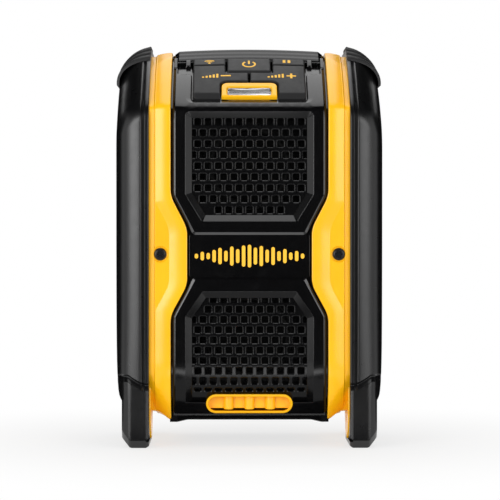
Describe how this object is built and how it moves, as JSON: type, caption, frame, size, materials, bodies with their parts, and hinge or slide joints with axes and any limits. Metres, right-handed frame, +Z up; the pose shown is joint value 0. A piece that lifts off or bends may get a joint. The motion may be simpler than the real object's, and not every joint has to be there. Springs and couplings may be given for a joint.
{
  "type": "jobsite bluetooth speaker",
  "caption": "Rugged upright bluetooth speaker with rubber bumpers, yellow side panels, pierced grilles, sloped key deck and a rear battery bay.",
  "frame": {"origin": "centre of the overall box at floor level", "axes": "+Z up, +X to the right seen from the front, the front faces -Y"},
  "size_m": [0.1748, 0.126, 0.2617],
  "materials": {
    "black_plastic": "satin",
    "grille_plastic": "satin",
    "key_rubber": "matte",
    "bumper_rubber": "satin",
    "yellow_plastic": "satin",
    "clear_lens": "polished",
    "black_screw": "satin",
    "zinc_steel": "satin",
    "bright_metal": "polished",
    "contact_brass": "polished",
    "board_green": "satin",
    "switch_plastic": "matte",
    "seal_rubber": "matte",
    "basket_metal": "satin",
    "magnet_ferrite": "matte",
    "cone_paper": "matte",
    "spider_fabric": "matte",
    "capacitor_sleeve": "satin"
  },
  "bodies": {
    "housing": {"front_housing": "black_plastic", "rear_housing": "black_plastic", "nameplate": "black_plastic", "upper_grille": "grille_plastic", "lower_grille": "grille_plastic", "left_side_panel": "yellow_plastic", "right_side_panel": "yellow_plastic", "light_bezel": "yellow_plastic", "bass_port": "yellow_plastic", "left_bumper": "bumper_rubber", "right_bumper": "bumper_rubber", "left_corner_grip": "bumper_rubber", "right_corner_grip": "bumper_rubber", "trim_screws": "black_screw", "leg_screws": "black_screw", "rear_screws": "zinc_steel", "driver_screws": "black_screw", "board_screws": "zinc_steel", "status_lens": "clear_lens", "light_reflector": "bright_metal", "port_duct": "black_plastic", "control_board": "board_green", "main_board": "board_green", "tact_switches": "switch_plastic", "housing_seal": "seal_rubber", "driver_gaskets": "seal_rubber", "upper_driver_basket": "basket_metal", "lower_driver_basket": "basket_metal", "upper_driver_magnet": "magnet_ferrite", "lower_driver_magnet": "magnet_ferrite", "upper_driver_surround": "seal_rubber", "lower_driver_surround": "seal_rubber", "driver_spiders": "spider_fabric", "capacitors": "capacitor_sleeve", "heat_sink": "bright_metal", "battery_receptacle": "black_plastic", "terminal_block": "switch_plastic", "battery_contacts": "contact_brass", "aux_jack": "switch_plastic", "power_inlet": "switch_plastic", "inlet_pin": "contact_brass"},
    "power_key": {"power_button": "key_rubber"},
    "pairing_key": {"pairing_button": "key_rubber"},
    "play_pause_key": {"play_pause_button": "key_rubber"},
    "volume_down_key": {"volume_down_button": "key_rubber"},
    "volume_up_key": {"volume_up_button": "key_rubber"},
    "upper_cone": {"upper_driver_cone": "cone_paper"},
    "lower_cone": {"lower_driver_cone": "cone_paper"},
    "door": {"port_door": "key_rubber"},
    "bail": {"hanging_bracket": "zinc_steel"}
  },
  "joints": [
    {"name": "power_press", "type": "slide", "parent": "housing", "child": "power_key", "axis": [0, 0.5446, -0.8387], "range_m": [0, 0.0006], "stiffness_N_per_m": 3000},
    {"name": "pairing_press", "type": "slide", "parent": "housing", "child": "pairing_key", "axis": [0, 0.5446, -0.8387], "range_m": [0, 0.0006], "stiffness_N_per_m": 3000},
    {"name": "play_pause_press", "type": "slide", "parent": "housing", "child": "play_pause_key", "axis": [0, 0.5446, -0.8387], "range_m": [0, 0.0006], "stiffness_N_per_m": 3000},
    {"name": "volume_down_press", "type": "slide", "parent": "housing", "child": "volume_down_key", "axis": [0, 0.5446, -0.8387], "range_m": [0, 0.0006], "stiffness_N_per_m": 3000},
    {"name": "volume_up_press", "type": "slide", "parent": "housing", "child": "volume_up_key", "axis": [0, 0.5446, -0.8387], "range_m": [0, 0.0006], "stiffness_N_per_m": 3000},
    {"name": "upper_cone_stroke", "type": "slide", "parent": "housing", "child": "upper_cone", "axis": [0, -1, 0], "range_m": [-0.0015, 0.0015], "stiffness_N_per_m": 1200},
    {"name": "lower_cone_stroke", "type": "slide", "parent": "housing", "child": "lower_cone", "axis": [0, -1, 0], "range_m": [-0.0015, 0.0015], "stiffness_N_per_m": 1200},
    {"name": "door_hinge", "type": "hinge", "parent": "housing", "child": "door", "pos_m": [0, 0.0586, 0.1805], "axis": [-1, 0, 0], "range_deg": [0, 100]},
    {"name": "bail_hinge", "type": "hinge", "parent": "housing", "child": "bail", "pos_m": [0, 0.0589, 0.24], "axis": [1, 0, 0], "range_deg": [0, 180]}
  ]
}
